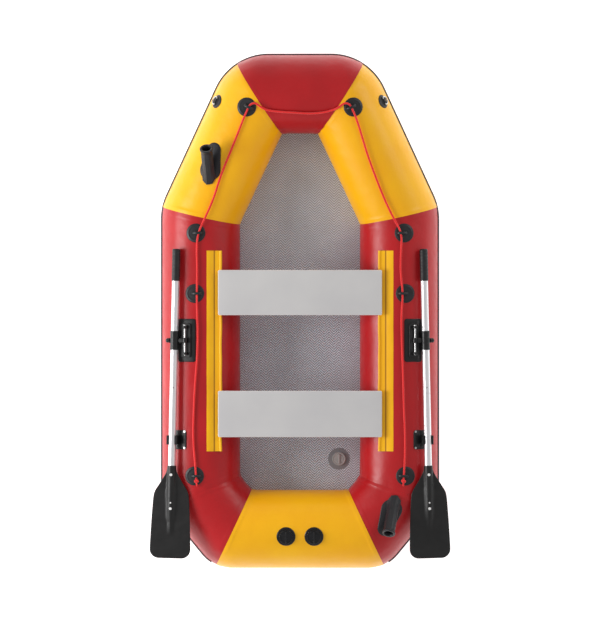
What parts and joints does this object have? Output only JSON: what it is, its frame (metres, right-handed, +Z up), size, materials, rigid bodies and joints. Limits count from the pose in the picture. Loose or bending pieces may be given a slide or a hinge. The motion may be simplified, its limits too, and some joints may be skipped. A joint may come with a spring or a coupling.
{
  "type": "inflatable dinghy",
  "caption": "Small inflatable rowing dinghy with a raised bow, sliding bench seats, folding oars, lifeline and rod holders.",
  "frame": {"origin": "bottom centre of the boat, on the ground under the tubes", "axes": "+Y to the bow, +X to starboard, +Z up"},
  "size_m": [1.3346, 2.3, 0.4998],
  "materials": {
    "hull_red": "glossy",
    "hull_yellow": "glossy",
    "inner_fabric": "satin",
    "strake": "satin",
    "deck_grey": "embossed satin",
    "yarn": "woven",
    "track_yellow": "satin",
    "seat_board": "painted",
    "nylon": "moulded",
    "steel": "polished",
    "moulded_rubber": "moulded",
    "rope_red": "braided",
    "valve_grey": "moulded",
    "valve_black": "moulded",
    "grip_rubber": "matte",
    "oar_aluminium": "anodised",
    "blade_plastic": "moulded"
  },
  "bodies": {
    "hull": {"port_quarter_panel": "hull_red", "port_side_panel": "hull_red", "port_bow_panel": "hull_yellow", "bow_panel": "hull_red", "starboard_bow_panel": "hull_yellow", "starboard_side_panel": "hull_red", "starboard_quarter_panel": "hull_red", "stern_panel": "hull_yellow", "chamber_bulkheads": "inner_fabric", "seam_tapes": "inner_fabric", "rubbing_strake": "strake", "bottom_sheet": "inner_fabric", "air_deck": "deck_grey", "drop_stitch_yarns": "yarn", "seat_tracks": "track_yellow", "track_bead_ropes": "yarn", "lifeline_eyelets": "moulded_rubber", "lifeline": "rope_red", "lifeline_knots": "rope_red", "tow_patches": "moulded_rubber", "floor_valve_body": "valve_grey", "floor_valve_spring": "steel", "port_hull_valve_body": "valve_black", "starboard_hull_valve_body": "valve_black", "hull_valve_flaps": "moulded_rubber", "port_rod_holder": "moulded_rubber", "starboard_rod_holder": "moulded_rubber", "rowlock_bases": "nylon", "rowlock_pins": "steel", "clip_screws": "steel", "oar_clips": "nylon"},
    "port_oar": {"port_rowlock_arm": "nylon", "port_oar_collar": "nylon", "port_oar_grip": "grip_rubber", "port_oar_upper_shaft": "oar_aluminium", "port_oar_lower_shaft": "oar_aluminium", "port_oar_blade": "blade_plastic"},
    "port_nut": {"port_rowlock_nut": "nylon"},
    "port_button": {"port_oar_spring_button": "steel"},
    "port_valve_cap": {"port_hull_valve_cap": "valve_black"},
    "port_ring": {"port_tow_ring": "steel"},
    "starboard_oar": {"starboard_rowlock_arm": "nylon", "starboard_oar_collar": "nylon", "starboard_oar_grip": "grip_rubber", "starboard_oar_upper_shaft": "oar_aluminium", "starboard_oar_lower_shaft": "oar_aluminium", "starboard_oar_blade": "blade_plastic"},
    "starboard_nut": {"starboard_rowlock_nut": "nylon"},
    "starboard_button": {"starboard_oar_spring_button": "steel"},
    "starboard_valve_cap": {"starboard_hull_valve_cap": "valve_black"},
    "starboard_ring": {"starboard_tow_ring": "steel"},
    "forward_seat": {"forward_thwart": "seat_board", "forward_thwart_clamps": "nylon", "forward_thwart_screws": "steel"},
    "aft_seat": {"aft_thwart": "seat_board", "aft_thwart_clamps": "nylon", "aft_thwart_screws": "steel"},
    "deck_valve_cap": {"floor_valve_cap": "valve_grey"},
    "deck_valve_plunger": {"floor_valve_plunger": "valve_grey"}
  },
  "joints": [
    {"name": "port_oar_fold", "type": "hinge", "parent": "hull", "child": "port_oar", "pos_m": [-0.51042, -0.128, 0.36047], "axis": [0, 1, 0], "range_deg": [0, 100]},
    {"name": "port_nut_turn", "type": "hinge", "parent": "port_oar", "child": "port_nut", "pos_m": [-0.55656, -0.128, 0.34724], "axis": [-0.9613, 0, -0.2756], "range_deg": [0, 630]},
    {"name": "port_button_press", "type": "slide", "parent": "port_oar", "child": "port_button", "axis": [0.0872, -0.0019, -0.9962], "range_m": [0, 0.0024], "stiffness_N_per_m": 1500, "springref_m": -0.002},
    {"name": "port_valve_cap_turn", "type": "hinge", "parent": "hull", "child": "port_valve_cap", "pos_m": [-0.062, -0.998, 0.34848], "axis": [0, -0.1314, 0.9913], "range_deg": [0, 90]},
    {"name": "port_ring_swing", "type": "hinge", "parent": "hull", "child": "port_ring", "pos_m": [-0.37338, 0.93289, 0.35292], "axis": [0.4214, 0.8944, 0.1499], "range_deg": [0, 100]},
    {"name": "starboard_oar_fold", "type": "hinge", "parent": "hull", "child": "starboard_oar", "pos_m": [0.51042, -0.128, 0.36047], "axis": [0, -1, 0], "range_deg": [0, 100]},
    {"name": "starboard_nut_turn", "type": "hinge", "parent": "starboard_oar", "child": "starboard_nut", "pos_m": [0.55656, -0.128, 0.34724], "axis": [-0.9613, 0, 0.2756], "range_deg": [0, 630]},
    {"name": "starboard_button_press", "type": "slide", "parent": "starboard_oar", "child": "starboard_button", "axis": [-0.0872, -0.0019, -0.9962], "range_m": [0, 0.0024], "stiffness_N_per_m": 1500, "springref_m": -0.002},
    {"name": "starboard_valve_cap_turn", "type": "hinge", "parent": "hull", "child": "starboard_valve_cap", "pos_m": [0.062, -0.998, 0.34848], "axis": [0, 0.1314, -0.9913], "range_deg": [0, 90]},
    {"name": "starboard_ring_swing", "type": "hinge", "parent": "hull", "child": "starboard_ring", "pos_m": [0.37338, 0.93289, 0.35292], "axis": [0.4214, -0.8944, -0.1499], "range_deg": [0, 100]},
    {"name": "forward_seat_slide", "type": "slide", "parent": "hull", "child": "forward_seat", "axis": [0, 1, 0], "range_m": [-0.15, 0.08]},
    {"name": "aft_seat_slide", "type": "slide", "parent": "hull", "child": "aft_seat", "axis": [0, 1, 0], "range_m": [-0.05, 0.15]},
    {"name": "deck_valve_cap_turn", "type": "hinge", "parent": "hull", "child": "deck_valve_cap", "pos_m": [0.176, -0.665, 0.087], "axis": [0, 0, 1], "range_deg": [0, 90]},
    {"name": "deck_valve_press", "type": "slide", "parent": "hull", "child": "deck_valve_plunger", "axis": [0, 0, -1], "range_m": [0, 0.004], "stiffness_N_per_m": 800, "springref_m": -0.005, "deforming": ["floor_valve_spring"]}
  ]
}
